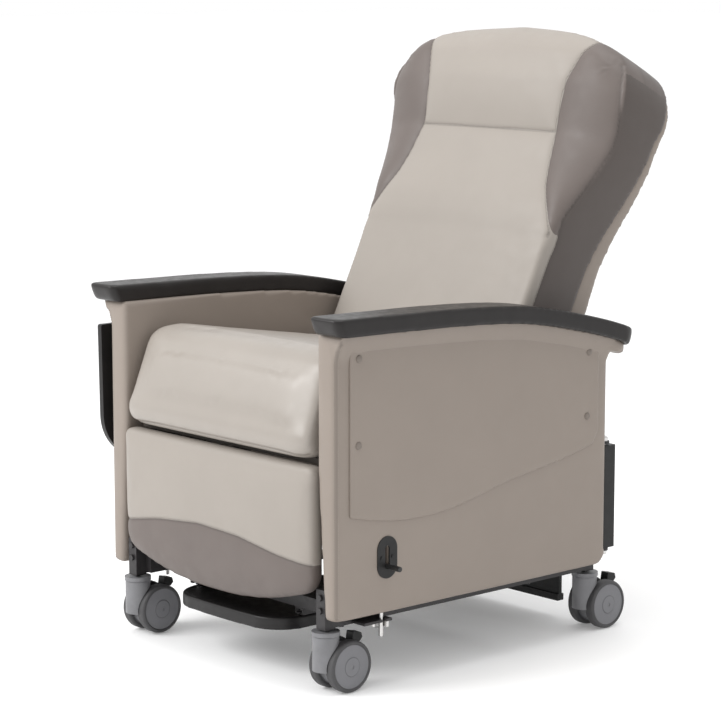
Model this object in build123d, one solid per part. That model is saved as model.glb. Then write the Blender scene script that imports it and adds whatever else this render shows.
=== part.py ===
"""Hospital recliner chair on four twin-wheel casters, in millimetres.

+X is the sitter's left, the chair faces -Y, and +Z is up. The parts are drawn with y = 0 at the
front faces of the arms, and are moved at the end so that the origin is on the floor, under the
middle of the chair.
"""
from build123d import *
import math
import os

# Overall placing
DEPTH_MIDDLE = 489.26        # y of the middle of the whole depth, from the front of the arms

# Arms
ARM_INNER = 295.0           # x of the inner face, above the taper
ARM_INNER_LOW = 313.0       # x of the inner face at its lower edge
ARM_OUTER = 345.0
ARM_BOTTOM = 147.0
ARM_TAPER_TOP = 420.0       # z where the inner face starts to taper
ARM_REAR = 732.0
CAP_INNER = 299.0
CAP_OUTER = 381.0
CAP_THICK = 34.0
CAP_TOP_LINE = ((-28, 719), (180, 715.5), (360, 709.5), (480, 699), (600, 676.5), (700, 652.5), (787, 625))
CAP_NOSE_RADIUS = 16.0
CAP_TAIL_RADIUS = 40.0
FLANGE_REACH = 18.0         # how far the top of the arm flares outward under the cap
FLANGE_DROP = 22.0
PANEL_THICK = 5.0
BUTTON_PLACES = ((54, 638), (53, 476), (671, 589), (667, 459))

# Arm hinge and latch
HINGE_X = 318.0
HINGE_Y = 752.0
HINGE_PIN_R = 6.0
RUN = 0.05                  # radial clearance of every running fit
LATCH_X = 330.0
LATCH_Y = 127.0
LATCH_ROD_R = 4.5
LATCH_ROD_LOW = 99.0
LATCH_PIN_Z = 236.5
LATCH_TRAVEL = 35.0
PLATE_MIDDLE_Z = 254.0
LEVER_TIP = 384.0

# Base frame
TUBE = 25.0
RAIL_X = 292.0
FRONT_POST_Y = 22.0
REAR_POST_Y = 729.0
RAIL_Z = (133.0, 158.0)     # cross bars
SIDE_RAIL_LOW = 126.0       # the side rails are taller than the cross bars
POST_LOW = 123.0
POST_TOP = 200.0
SIDE_X = (271.0, 291.0)     # the upright side members and the seat rails
SEAT_RAIL_Z = (407.0, 432.0)
SEAT_RAIL_REAR = 588.0
HINGE_POST_X = (250.0, 272.0)
HINGE_POST_Y = (722.0, 752.0)
LUG_LEVELS = ((166, 171), (389, 394))
REAR_BAR_Y = (727.0, 752.0)
SKIRT_LOW_HALF = 198.0      # below the rails, where the casters swing
SKIRT_HIGH_HALF = 236.0
SKIRT_Z = (50.0, 128.0, 372.0)
SKIRT_THICK = 8.5

# Casters
WHEEL_R = 50.0
WHEEL_TRAIL = 36.0
WHEEL_IN = 12.5             # inner and outer faces of a wheel, from the caster's middle
WHEEL_OUT = 35.5
AXLE_R = 4.0
BARREL_R = 25.5
BARREL_TOP = 120.0
STEM_R = 5.5
PEDAL_PIVOT = (56.0, 76.0)

# Seat
SEAT_HALF = 284.0
SEAT_BOTTOM = 444.3
SEAT_REAR = 552.0

# Back: s runs up the back, t runs through it to the rear, both from a point between its side seams
BACK_TILT = 27.0
BACK_Y = 571.0
BACK_Z = 690.0
BACK_FRONT_T = -22.0
BACK_POCKET_T = 88.0
BACK_SIDE_T = 130.0
BACK_BOTTOM_S = -116.0
BACK_ROLL = 60.0            # radius of the rolled edge along the top
BACK_TOP_S = 601.0
BACK_CORNER_DROP = 50.0     # from the top of the arch to its ends
BACK_CORNER_X = 264.0
SHELL_T = (193.0, 136.0)    # rear face of the shell, at the foot and at the top
SHELL_S = (-120.0, 621.0)
SHELL_WALL = 9.0
HANDLE_S = 500.0
HANDLE_X = 262.0
HANDLE_T = (147.5, 220.0)
HANDLE_R = 12.5
BACK_PIVOT = (600.0, 520.0)
BACK_SWING = 45.0           # degrees of recline

# Leg rest linkage, as (y, z) at rest; the turns are in degrees while the back reclines fully
SWING_PIVOT = (110.0, 380.0)
FOLD_PIVOT = (204.0, 238.0)
TILT_PIVOT = (47.0, 356.0)
DRIVE_PIN = (152.5, 347.4)
LEVER_PIN = (625.0, 410.0)
DRIVE_SLOT = (37.0, 24.0)   # long slot of the drive link's front end, across the link
LINK_PIN_R = 4.0

# Gas spring
SPRING_FOOT = (560.0, 205.0)
SPRING_HEAD = (660.0, 580.0)
SPRING_PIN_R = 5.0
SPRING_EYE = (15.5, 10.5)   # outer and inner radius of the rod's loose eye

# Foot tray
TRAY_HALF = 168.0
TRAY_FRONT = 2.0
TRAY_REAR = 322.0
TRAY_Z = (90.0, 116.0)
TRAY_CORNER = 72.0
TRAY_RIM = 9.0
TRAY_SUNK = 2.5
RUNNER_X = TRAY_HALF - TRAY_RIM / 2   # the runners stand on the rim
RUNNER_Y = (76.0, 560.0)

# Side table on the right-hand arm
TABLE_OUTER = 380.0
TABLE_THICK = 12.0
TABLE_Y = (-5.0, 465.0)
TABLE_Z = (350.0, 632.0)
TABLE_LEAN = 4.0            # how far each end edge slopes inward on its way down
TABLE_LOW_CORNER = 96.0
TABLE_RIM = (10.0, 3.0)     # width, and depth of the sunk face
TABLE_HINGE = (366.0, 642.0)  # x, z
TABLE_KNUCKLES = ((88, 123), (355, 390))


def block(x, y, z):
    """A box given by its low and high x, y and z."""
    size = [high - low for low, high in (x, y, z)]
    middle = [(low + high) / 2 for low, high in (x, y, z)]
    return Pos(*middle) * Box(*size)


def rod_x(radius, y, z, x):
    """A round bar along X from x[0] to x[1]."""
    return Pos((x[0] + x[1]) / 2, y, z) * Rot(0, 90, 0) * Cylinder(radius, x[1] - x[0])


def rod_y(radius, x, z, y):
    """A round bar along Y from y[0] to y[1]."""
    return Pos(x, (y[0] + y[1]) / 2, z) * Rot(90, 0, 0) * Cylinder(radius, y[1] - y[0])


def rod_z(radius, x, y, z):
    """A round bar along Z from z[0] to z[1]."""
    return Pos(x, y, (z[0] + z[1]) / 2) * Cylinder(radius, z[1] - z[0])


def side_plate(face, x):
    """A (y, z) face made into a plate from x[0] to x[1]."""
    return extrude(Plane.YZ.offset(x[0]) * face, amount=x[1] - x[0])


def front_plate(face, y):
    """An (x, z) face made into a plate from y[0] to y[1]."""
    return extrude(Plane.XZ.offset(-y[1]) * face, amount=y[1] - y[0])


def polygon(points):
    return make_face(Polyline(*points, close=True))


def link_face(ends, radii):
    """A flat link between round ends: the outline of a belt round two circles."""
    (ay, az), (by, bz) = ends
    ra, rb = radii
    reach = math.hypot(by - ay, bz - az)
    turn = math.degrees(math.atan2(bz - az, by - ay))
    waist = Pos(ay, az) * Rot(0, 0, turn) * Pos(reach / 2, 0) * Rectangle(reach, 2 * min(radii))
    return Sketch() + waist + Pos(ay, az) * Circle(ra) + Pos(by, bz) * Circle(rb)


def mirrored(shape):
    return mirror(shape, Plane.YZ)


def pair(shape):
    """The solid and its mirror image on the other side of the chair."""
    return Compound(children=[*shape.solids(), *mirrored(shape).solids()])


def group(*shapes):
    """Separate solids that make up one node."""
    return Compound(children=[solid for shape in shapes for solid in shape.solids()])


def back_point(s, t):
    """(y, z) of a place on the back."""
    tilt = math.radians(BACK_TILT)
    y = BACK_Y + s * math.sin(tilt) + t * math.cos(tilt)
    z = BACK_Z + s * math.cos(tilt) - t * math.sin(tilt)
    return y, z


def back_plane(t):
    """The plane across the back at depth t: its local x is X, its local y is s."""
    tilt = math.radians(BACK_TILT)
    y, z = back_point(0, t)
    return Plane(origin=(0, y, z), x_dir=(1, 0, 0), z_dir=(0, -math.cos(tilt), math.sin(tilt)))


# ---------------------------------------------------------------- casters


def caster_housing():
    """Barrel, web between the wheels, axle and pedal pin."""
    body = rod_z(BARREL_R, 0, 0, (44, BARREL_TOP - 9))
    body += rod_z(BARREL_R + 1.5, 0, 0, (BARREL_TOP - 8, BARREL_TOP))
    body += rod_z(BARREL_R - 1.5, 0, 0, (BARREL_TOP - 9, BARREL_TOP - 8))
    body += rod_x(40, WHEEL_TRAIL, WHEEL_R, (-11.5, 11.5))
    for side in (-1, 1):
        low, high = sorted((side * 11.5, side * 40))
        body -= rod_x(WHEEL_R + 1.5, WHEEL_TRAIL, WHEEL_R, (low, high))
    body -= block((-7.3, 7.3), (40, 90), (58, 110))
    body -= rod_z(STEM_R + RUN, 0, 0, (84, BARREL_TOP + 1))
    body += rod_x(AXLE_R, WHEEL_TRAIL, WHEEL_R, (-WHEEL_OUT + 1, WHEEL_OUT - 1))
    body += rod_x(3, *PEDAL_PIVOT, (-11, 11))
    return body


def caster_wheel(side):
    """One wheel: rounded tyre, sunk disc and raised hub, turned about the axle."""
    half = (WHEEL_OUT - WHEEL_IN) / 2
    outline = Polyline(
        (AXLE_R + RUN, -half), (40, -half), (WHEEL_R, -half), (WHEEL_R, half), (44, half), (42, half - 2),
        (20, half - 1), (18, half), (AXLE_R + RUN, half), close=True,
    )
    profile = make_face(outline)
    corners = [v for v in profile.vertices() if v.X > WHEEL_R - 0.1]
    profile = fillet(corners, 6)
    wheel = revolve(Plane.XZ * profile, Axis.Z, 360)
    return Pos(side * (WHEEL_IN + half), WHEEL_TRAIL, WHEEL_R) * Rot(0, side * 90, 0) * wheel


def caster_pedal():
    """Brake pedal: a narrow arm between the wheels and a wider pad above it."""
    y, z = PEDAL_PIVOT
    arm = side_plate(link_face(((y, z), (y + 14, z + 20)), (8, 6)), (-6.8, 6.8))
    pad_face = fillet(polygon(((58, 91), (77, 88), (84, 95), (81, 105), (61, 109))).vertices(), 2)
    pad = side_plate(pad_face, (-9.5, 9.5))
    return arm + pad - rod_x(3 + RUN, y, z, (-20, 20))


CASTERS = {
    "front_left": (RAIL_X, FRONT_POST_Y),
    "front_right": (-RAIL_X, FRONT_POST_Y),
    "rear_left": (RAIL_X, REAR_POST_Y),
    "rear_right": (-RAIL_X, REAR_POST_Y),
}


def casters():
    nodes = {}
    for name, (x, y) in CASTERS.items():
        place = Pos(x, y, 0)
        nodes[f"{name}_caster_housing"] = place * caster_housing()
        nodes[f"{name}_inner_wheel"] = place * caster_wheel(-1 if x > 0 else 1)
        nodes[f"{name}_outer_wheel"] = place * caster_wheel(1 if x > 0 else -1)
        nodes[f"{name}_brake_pedal"] = place * caster_pedal()
    return nodes


# ---------------------------------------------------------------- base


def side_frame():
    """Left-hand side frame: welded tubes, each its own solid, with the arm hinge lugs."""
    high = RAIL_Z[1]
    half = TUBE / 2
    x = (RAIL_X - half, RAIL_X + half)
    rail = block(x, (FRONT_POST_Y + half, REAR_POST_Y - half), (SIDE_RAIL_LOW, high))
    front_post = block(x, (FRONT_POST_Y - half, FRONT_POST_Y + half), (POST_LOW, POST_TOP))
    rear_post = block(x, (REAR_POST_Y - half, REAR_POST_Y + half), (POST_LOW, high))
    front_post -= rod_z(STEM_R + RUN, RAIL_X, FRONT_POST_Y, (POST_LOW - 1, 152))
    rear_post -= rod_z(STEM_R + RUN, RAIL_X, REAR_POST_Y, (POST_LOW - 1, 152))
    end_plate = block((264, RAIL_X - half), (35, 92), (128, 194))
    front_upright = block(SIDE_X, (160, 185), (high, SEAT_RAIL_Z[0]))
    rear_upright = block(SIDE_X, (SEAT_RAIL_REAR, 612), (high, 540))
    rear_upright -= rod_x(8 + RUN, *BACK_PIVOT, (SIDE_X[0] - 1, SIDE_X[1] + 1))
    seat_rail = block(SIDE_X, (60, SEAT_RAIL_REAR), SEAT_RAIL_Z)
    pivot_lug = block((SIDE_X[0], 277), (96, 124), (366, SEAT_RAIL_Z[0]))
    pivot_lug -= rod_x(LINK_PIN_R + RUN, *SWING_PIVOT, (260, 280))
    hinge_foot = block((HINGE_POST_X[0], RAIL_X - half), HINGE_POST_Y, RAIL_Z)
    hinge_post = block(HINGE_POST_X, HINGE_POST_Y, (high, 400))
    lugs = []
    for z in LUG_LEVELS:
        lug = block((HINGE_POST_X[1], HINGE_X), (741.5, 762), z) + rod_z(12, HINGE_X, HINGE_Y, z)
        lugs.append(lug - rod_z(HINGE_PIN_R + RUN, HINGE_X, HINGE_Y, (z[0] - 1, z[1] + 1)))
    return group(rail, front_post, rear_post, end_plate, front_upright, rear_upright, seat_rail,
                 pivot_lug, hinge_foot, hinge_post, *lugs)


def cross_bars():
    """Bars between the side frames, with the gas spring's foot lugs."""
    inner = RAIL_X - TUBE / 2
    front = block((-264, 264), (67, 92), RAIL_Z)
    middle = block((-inner, inner), (548, 573), RAIL_Z)
    rear = block((-HINGE_POST_X[0], HINGE_POST_X[0]), REAR_BAR_Y, RAIL_Z)
    seat_front = block((-SIDE_X[0], SIDE_X[0]), (190, 210), SEAT_RAIL_Z)
    seat_middle = block((-SIDE_X[0], SIDE_X[0]), (300, 320), SEAT_RAIL_Z)
    lugs = []
    for x in ((-17, -13), (13, 17)):
        lug = block(x, (548, 572), (RAIL_Z[1], 205)) + rod_x(12, *SPRING_FOOT, x)
        lugs.append(lug - rod_x(5 + RUN, *SPRING_FOOT, (x[0] - 1, x[1] + 1)))
    return group(front, middle, rear, seat_front, seat_middle, *lugs)


def pivot_pins():
    """Pins of the back, the leg rest, the gas spring's foot and the arms."""
    back = rod_x(8, *BACK_PIVOT, (246, SIDE_X[1])) + rod_x(12, *BACK_PIVOT, (242, 246))
    leg = rod_x(LINK_PIN_R, *SWING_PIVOT, (250, 277)) + rod_x(6.5, *SWING_PIVOT, (247, 250))
    spring = rod_x(5, *SPRING_FOOT, (-19, 19))
    hinge = rod_z(HINGE_PIN_R, HINGE_X, HINGE_Y, (158, 404))
    for z in (158.5, 394):
        hinge += Pos(HINGE_X, HINGE_Y, z) * hex_head(10, 7.5)
    return group(pair(back), pair(leg), spring, pair(hinge))


def hex_head(radius, thick):
    return extrude(RegularPolygon(radius, 6), amount=thick)


def frame_fasteners():
    """Hexagon heads on the posts and rails, and the caster stems in the posts."""
    heads = [rod_z(STEM_R, RAIL_X, y, (86, 152)) for y in (FRONT_POST_Y, REAR_POST_Y)]
    for z in (160, 185):
        heads.append(Pos(RAIL_X, FRONT_POST_Y - TUBE / 2, z) * Rot(90, 0, 0) * hex_head(6.5, 4.5))
    for y in (60, 560):
        heads.append(Pos(RAIL_X, y, SIDE_RAIL_LOW - 4.5) * hex_head(6.5, 4.5))
    return group(*[pair(head) for head in heads])


def latch_brackets():
    """Plate on each side rail that carries the latch keeper, forked open outward."""
    plate = block((RAIL_X + TUBE / 2, 341), (76, 146), (128, 133))
    plate -= block((LATCH_X, 345), (LATCH_Y - 5.2, LATCH_Y + 5.2), (120, 140))
    plate -= rod_z(5.2, LATCH_X, LATCH_Y, (120, 140))
    return pair(plate)


def latch_keepers():
    """Keeper blocks under the plates, with the same fork, and their two bolt heads."""
    keeper = block((321, 340), (116, 138), (117, 128))
    keeper -= block((LATCH_X, 345), (LATCH_Y - 5.2, LATCH_Y + 5.2), (110, 140))
    keeper -= rod_z(5.2, LATCH_X, LATCH_Y, (110, 140))
    bolt = Pos(331, 107, 121) * hex_head(4.2, 7)
    return pair(group(keeper, bolt))


def rear_skirt():
    """Upholstered board across the rear of the base, narrower where the casters swing."""
    y = (REAR_BAR_Y[1], REAR_BAR_Y[1] + SKIRT_THICK)
    low = block((-SKIRT_LOW_HALF, SKIRT_LOW_HALF), y, SKIRT_Z[:2])
    high = block((-SKIRT_HIGH_HALF, SKIRT_HIGH_HALF), y, SKIRT_Z[1:])
    return low + high


def skirt_bar():
    """Bar along the skirt's lower edge."""
    y = (REAR_BAR_Y[1] - 4, REAR_BAR_Y[1] + 14)
    return block((-SKIRT_LOW_HALF, SKIRT_LOW_HALF), y, (SKIRT_Z[0] - 14, SKIRT_Z[0]))


def tray_rails():
    """Two channels, open below, that hold the tray's runners."""
    def rail(x):
        body = block((x - 12, x + 12), (67, 573), (119, 133))
        body -= block((x - 9, x + 9), (60, 580), (121.5, 130))
        body -= block((x - 4.5, x + 4.5), (60, 580), (118, 122))
        return body
    return group(rail(RUNNER_X), rail(-RUNNER_X))


def seat_deck():
    deck = extrude(Pos(0, 262) * RectangleRounded(2 * SEAT_HALF, 472, 20), amount=12)
    return Pos(0, 0, SEAT_RAIL_Z[1]) * deck


def seat_cushion():
    """Box cushion with a deep rolled front edge; its top falls towards the back."""
    bottom = SEAT_BOTTOM
    top_front = (44, 641)
    top_rear = (SEAT_REAR, 562)
    face = polygon(((-13, bottom), (-17, 482), top_front, top_rear, (SEAT_REAR, bottom)))
    rounds = ((-13, bottom, 22), (*top_front, 48), (*top_rear, 38), (SEAT_REAR, bottom, 30))
    for y, z, radius in rounds:
        corner = face.vertices().sort_by(lambda v: abs(v.X - y) + abs(v.Y - z))[0]
        face = fillet(corner, radius)
    return side_plate(face, (-SEAT_HALF, SEAT_HALF))


def base():
    return {
        "left_side_frame": side_frame(),
        "right_side_frame": mirrored(side_frame()),
        "cross_bars": cross_bars(),
        "pivot_pins": pivot_pins(),
        "frame_fasteners": frame_fasteners(),
        "latch_brackets": latch_brackets(),
        "latch_keepers": latch_keepers(),
        "rear_skirt": rear_skirt(),
        "skirt_bar": skirt_bar(),
        "tray_rails": tray_rails(),
        "seat_deck": seat_deck(),
        "seat_cushion": seat_cushion(),
    }


# ---------------------------------------------------------------- leg rest


def leg_outline(half, top, middle_bottom, end_bottom, corner):
    """Leg rest outline in (x, z): square top, and a bottom bowed down between round corners."""
    sides = Polyline((-half, end_bottom), (-half, top), (half, top), (half, end_bottom))
    bow = ThreePointArc((half, end_bottom), (0, middle_bottom), (-half, end_bottom))
    face = make_face(Curve() + sides + bow)
    low = [v for v in face.vertices() if v.Y < end_bottom + 1]
    face = fillet(low, corner)
    high = [v for v in face.vertices() if v.Y > top - 1]
    return fillet(high, 14)


def leg_rest_cushion():
    return front_plate(leg_outline(288, 431, 150, 196, 44), (-9, 22))


def leg_rest_panel():
    """Pressed panel behind the cushion, with the pivot lugs."""
    panel = front_plate(leg_outline(268, 420, 166, 205, 40), (22.2, 33))
    y, z = TILT_PIVOT
    lug = block((265.5, 270.5), (32, y), (z - 12, z + 12)) + rod_x(12, y, z, (265.5, 270.5))
    pin = rod_x(LINK_PIN_R, y, z, (256, 266))
    return group(panel + lug + pin + mirrored(lug + pin))


def swing_link():
    """Lower leg rest link: two bars on the seat frame pivots, joined by a round tube."""
    x = (252, 257)
    bar = side_plate(link_face((SWING_PIVOT, FOLD_PIVOT), (13, 13)), x)
    bar -= rod_x(LINK_PIN_R + RUN, *SWING_PIVOT, (240, 270))
    bar += rod_x(LINK_PIN_R, *FOLD_PIVOT, (252, 264.5))
    bar += side_plate(link_face((SWING_PIVOT, DRIVE_PIN), (13, 10)), x) - rod_x(13, *SWING_PIVOT, (240, 270))
    bar += rod_x(LINK_PIN_R, *DRIVE_PIN, (238, 253))
    middle = [(a + b) / 2 for a, b in zip(SWING_PIVOT, FOLD_PIVOT)]
    tube = rod_x(9, *middle, (-252, 252))
    return group(bar, mirrored(bar), tube)


def fold_link():
    """Upper leg rest link, from the swing link to the leg rest panel."""
    x = (258.5, 263.5)
    bar = side_plate(link_face((FOLD_PIVOT, TILT_PIVOT), (13, 12)), x)
    bar -= rod_x(LINK_PIN_R + RUN, *FOLD_PIVOT, (250, 270))
    bar -= rod_x(LINK_PIN_R + RUN, *TILT_PIVOT, (250, 270))
    place = [a + 0.62 * (b - a) for a, b in zip(FOLD_PIVOT, TILT_PIVOT)]
    tube = rod_x(8, *place, (-258.5, 258.5))
    return group(bar, mirrored(bar), tube)


def drive_links():
    """Bars from the back's levers to the swing link; the front eye is a long slot."""
    x = (240, 246)
    bar = side_plate(link_face((LEVER_PIN, DRIVE_PIN), (10, 11)), x)
    bar -= rod_x(LINK_PIN_R + RUN, *LEVER_PIN, (230, 250))
    turn = math.degrees(math.atan2(LEVER_PIN[1] - DRIVE_PIN[1], LEVER_PIN[0] - DRIVE_PIN[0])) + 90
    place = Pos(*DRIVE_PIN) * Rot(0, 0, turn)
    bar += side_plate(place * SlotOverall(DRIVE_SLOT[0] + 12, DRIVE_SLOT[1] + 12), x)
    bar -= side_plate(place * SlotOverall(*DRIVE_SLOT), (230, 250))
    return pair(bar)


def leg_rest():
    return {
        "leg_rest_cushion": leg_rest_cushion(),
        "leg_rest_panel": leg_rest_panel(),
        "swing_link": swing_link(),
        "fold_link": fold_link(),
        "drive_links": drive_links(),
    }


# ---------------------------------------------------------------- back


def back_outline(inset=0.0, bottom=BACK_BOTTOM_S):
    """Back outline in (x, s): narrow between the arms, flaring into wings below an arched top."""
    low = 267 - inset
    wing = 332 - inset
    top = BACK_TOP_S - inset
    corner = (BACK_CORNER_X - inset, top - BACK_CORNER_DROP)
    waist = Line((low, bottom), (low, 90))
    flare = Spline((low, 90), (293 - inset, 232), (wing, 410), tangents=((0, 1), (0, 1)))
    shoulder = ThreePointArc((wing, 410), (319 - inset, 511 - inset), corner)
    crown = ThreePointArc(corner, (0, top), (-corner[0], corner[1]))
    half = Curve() + [waist, flare, shoulder]
    foot = Line((-low, bottom), (low, bottom))
    return make_face(half.edges() + mirror(half, Plane.YZ).edges() + crown.edges() + foot.edges())


def across_back(face, t0, t1):
    """A face of the back's outline made solid from depth t0 to depth t1."""
    return extrude(back_plane(t1) * face, amount=t1 - t0)


def back_side_face():
    """Side view of the back cushion, with the top rolled over at the front."""
    rows = ((BACK_BOTTOM_S, BACK_FRONT_T), (BACK_TOP_S, BACK_FRONT_T), (BACK_TOP_S, BACK_SIDE_T),
            (BACK_BOTTOM_S, BACK_SIDE_T))
    face = polygon([back_point(s, t) for s, t in rows])
    top_front = back_point(BACK_TOP_S, BACK_FRONT_T)
    corner = face.vertices().sort_by(lambda v: math.dist((v.X, v.Y), top_front))[0]
    return fillet(corner, BACK_ROLL)


def back_cushion():
    """Foam and side walls; the frame lies in a pocket that is open to the rear."""
    body = across_back(back_outline(), BACK_FRONT_T, BACK_SIDE_T)
    body &= side_plate(back_side_face(), (-400, 400))
    pocket = across_back(back_outline(inset=10), BACK_POCKET_T, BACK_SIDE_T + 1)
    mouth = across_back(Pos(0, BACK_BOTTOM_S) * Rectangle(518, 60), BACK_POCKET_T, BACK_SIDE_T + 1)
    return body - pocket - mouth


def back_shell():
    """Rear cover: a shallow dish, thick at the foot and thin at the top."""
    body = across_back(back_outline(inset=1.5, bottom=-40), BACK_SIDE_T + 0.3, SHELL_T[0])
    inner = across_back(back_outline(inset=14, bottom=-60), BACK_SIDE_T, SHELL_T[0] + 1)
    rows = ((SHELL_S[0], SHELL_T[0]), (SHELL_S[1], SHELL_T[1]), (SHELL_S[1], 300), (SHELL_S[0], 300))
    wedge = side_plate(polygon([back_point(s, t) for s, t in rows]), (-400, 400))
    tilt = math.radians(BACK_TILT)
    hollow = inner - Pos(0, -SHELL_WALL * math.cos(tilt), SHELL_WALL * math.sin(tilt)) * wedge
    return body - wedge - hollow


def back_frame():
    """Welded ladder of round tubes in the cushion's pocket, with the gas spring's head lugs."""
    t = 113
    radius = 11
    side_x = 237
    s_range = (-56, 480)

    def tube(a, b, size=radius):
        start = Vector(a[0], *back_point(a[1], t))
        end = Vector(b[0], *back_point(b[1], t))
        plane = Plane(origin=start, z_dir=end - start)
        return extrude(plane * Circle(size), amount=(end - start).length)

    frame = tube((-side_x, s_range[0]), (-side_x, s_range[1])) + tube((side_x, s_range[0]), (side_x, s_range[1]))
    for s in (-12, 210, 460):
        frame += tube((-side_x, s), (side_x, s), radius - 1.5)
    for x in ((-13, -9), (9, 13)):
        frame += side_plate(link_face((SPRING_HEAD, back_point(-20, t)), (12, 10)), x)
    frame -= rod_x(SPRING_PIN_R + RUN, *SPRING_HEAD, (-20, 20))
    return group(frame, rod_x(SPRING_PIN_R, *SPRING_HEAD, (-15, 15)))


def back_levers():
    """Side plates from the back frame down past the pivots to the drive links."""
    x = (248.2, 255)
    upper = link_face((BACK_PIVOT, back_point(60, 113)), (17, 11))
    lower = link_face((BACK_PIVOT, LEVER_PIN), (17, 8.5))
    plate = side_plate(upper + lower, x)
    plate -= rod_x(8 + RUN, *BACK_PIVOT, (240, 260))
    plate += rod_x(LINK_PIN_R, *LEVER_PIN, (238, 249))
    return pair(plate)


def push_handle():
    """Bar across the rear of the back near its top, on two bent ends with round feet."""
    near, far = HANDLE_T
    points = []
    for x, t in ((HANDLE_X, near), (HANDLE_X, far), (-HANDLE_X, far), (-HANDLE_X, near)):
        points.append((x, *back_point(HANDLE_S, t)))
    path = FilletPolyline(*points, radius=30)
    tilt = math.radians(BACK_TILT)
    normal = (0, math.cos(tilt), -math.sin(tilt))
    section = Plane(origin=points[0], z_dir=normal) * Circle(HANDLE_R)
    bar = sweep(section, path=path)
    for x, y, z in (points[0], points[3]):
        bar += extrude(Plane(origin=(x, y, z), z_dir=normal) * Circle(20), amount=4)
    return bar


def back():
    return {
        "back_cushion": back_cushion(),
        "back_shell": back_shell(),
        "back_frame": back_frame(),
        "back_levers": back_levers(),
        "push_handle": push_handle(),
    }


# ---------------------------------------------------------------- gas spring


def along_spring(radius, start, end):
    """A round bar on the gas spring's line, between two distances from its foot."""
    (fy, fz), (hy, hz) = SPRING_FOOT, SPRING_HEAD
    reach = math.hypot(hy - fy, hz - fz)
    direction = Vector(0, (hy - fy) / reach, (hz - fz) / reach)
    plane = Plane(origin=Vector(0, fy, fz) + direction * start, z_dir=direction)
    return extrude(plane * Circle(radius), amount=end - start)


def gas_spring():
    cylinder = along_spring(11, 16, 250) + along_spring(5, 5, 17) + rod_x(11, *SPRING_FOOT, (-6, 6))
    cylinder -= rod_x(5 + RUN, *SPRING_FOOT, (-10, 10))
    cylinder -= along_spring(4.5 + RUN, 130, 251)
    reach = math.dist(SPRING_FOOT, SPRING_HEAD)
    rod = along_spring(4.5, 190, reach - 12) + rod_x(SPRING_EYE[0], *SPRING_HEAD, (-6, 6))
    rod -= rod_x(SPRING_EYE[1], *SPRING_HEAD, (-10, 10))
    return {"gas_spring_cylinder": cylinder, "gas_spring_rod": rod}


# ---------------------------------------------------------------- foot tray


def tray_face(inset=0.0):
    """Tray outline in plan, with a slightly bowed front and big front corners."""
    half = TRAY_HALF - inset
    front = TRAY_FRONT + inset
    rear = TRAY_REAR - inset
    corner = TRAY_CORNER - inset
    bow = ThreePointArc((-half, front + 8), (0, front), (half, front + 8))
    sides = Polyline((half, front + 8), (half, rear), (-half, rear), (-half, front + 8))
    face = make_face(Curve() + bow + sides)
    low = [v for v in face.vertices() if v.Y < front + 9]
    face = fillet(low, corner)
    high = [v for v in face.vertices() if v.Y > rear - 1]
    return fillet(high, max(12 - inset, 4))


def foot_tray():
    """Moulded tray: a plate with a low rim above and a skirt below."""
    low, high = TRAY_Z
    body = Pos(0, 0, low) * extrude(tray_face(), amount=high - low)
    body -= Pos(0, 0, high - TRAY_SUNK) * extrude(tray_face(TRAY_RIM), amount=5)
    body -= Pos(0, 0, low - 1) * extrude(tray_face(4), amount=high - low - 7)
    return body


def tray_runners():
    """T bars on the tray's rim that hang it in the rails."""
    def runner(x):
        head = block((x - 7.5, x + 7.5), RUNNER_Y, (122.6, 128.8))
        neck = block((x - 3, x + 3), RUNNER_Y, (118.5, 122.6))
        foot = block((x - 3, x + 3), (82, TRAY_REAR - 14), (TRAY_Z[1], 118.5))
        return head + neck + foot
    return group(runner(RUNNER_X), runner(-RUNNER_X))


# ---------------------------------------------------------------- arms (left hand)


def cap_top():
    return Spline(*CAP_TOP_LINE)


def cap_band(drop_top, drop_bottom):
    """(y, z) face between two lines parallel to the cap's top."""
    upper = Pos(0, -drop_top) * cap_top()
    lower = Pos(0, -drop_bottom) * cap_top()
    ends = Curve() + [Line(upper @ 0, lower @ 0), Line(upper @ 1, lower @ 1)]
    return make_face(upper.edges() + lower.edges() + ends.edges())


def above_cap_line(drop):
    """Everything above a line parallel to the cap's top."""
    line = Pos(0, -drop) * cap_top()
    lid = Polyline(line @ 1, (CAP_TOP_LINE[-1][0], 900), (CAP_TOP_LINE[0][0], 900), line @ 0)
    return make_face(line.edges() + lid.edges())


def arm_profile():
    """Side outline of the arm, below the cap."""
    face = polygon(((ARM_REAR, ARM_BOTTOM), (0, ARM_BOTTOM), (0, 760), (ARM_REAR, 760)))
    face -= above_cap_line(CAP_THICK)
    corner = face.vertices().sort_by(lambda v: abs(v.X - ARM_REAR) + abs(v.Y - ARM_BOTTOM))[0]
    return fillet(corner, 30)


def plan_outline(inner, outer, front, rear, nose, tail):
    """A strip in plan with round corners at both ends."""
    width = outer - inner
    face = Pos((inner + outer) / 2, (front + rear) / 2) * Rectangle(width, rear - front)
    low = [v for v in face.vertices() if v.Y < front + 1]
    face = fillet(low, min(nose, width / 2 - 0.5))
    high = [v for v in face.vertices() if v.Y > rear - 1]
    return fillet(high, min(tail, width / 2 - 0.5))


def arm_cap():
    """Armrest cap: a bar that follows the arm's top line, rounded in plan."""
    bar = side_plate(cap_band(0, CAP_THICK), (CAP_INNER, CAP_OUTER))
    ends = (CAP_TOP_LINE[0][0], CAP_TOP_LINE[-1][0])
    plan = plan_outline(CAP_INNER, CAP_OUTER, *ends, CAP_NOSE_RADIUS, CAP_TAIL_RADIUS)
    return bar & extrude(plan, amount=900)


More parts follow.
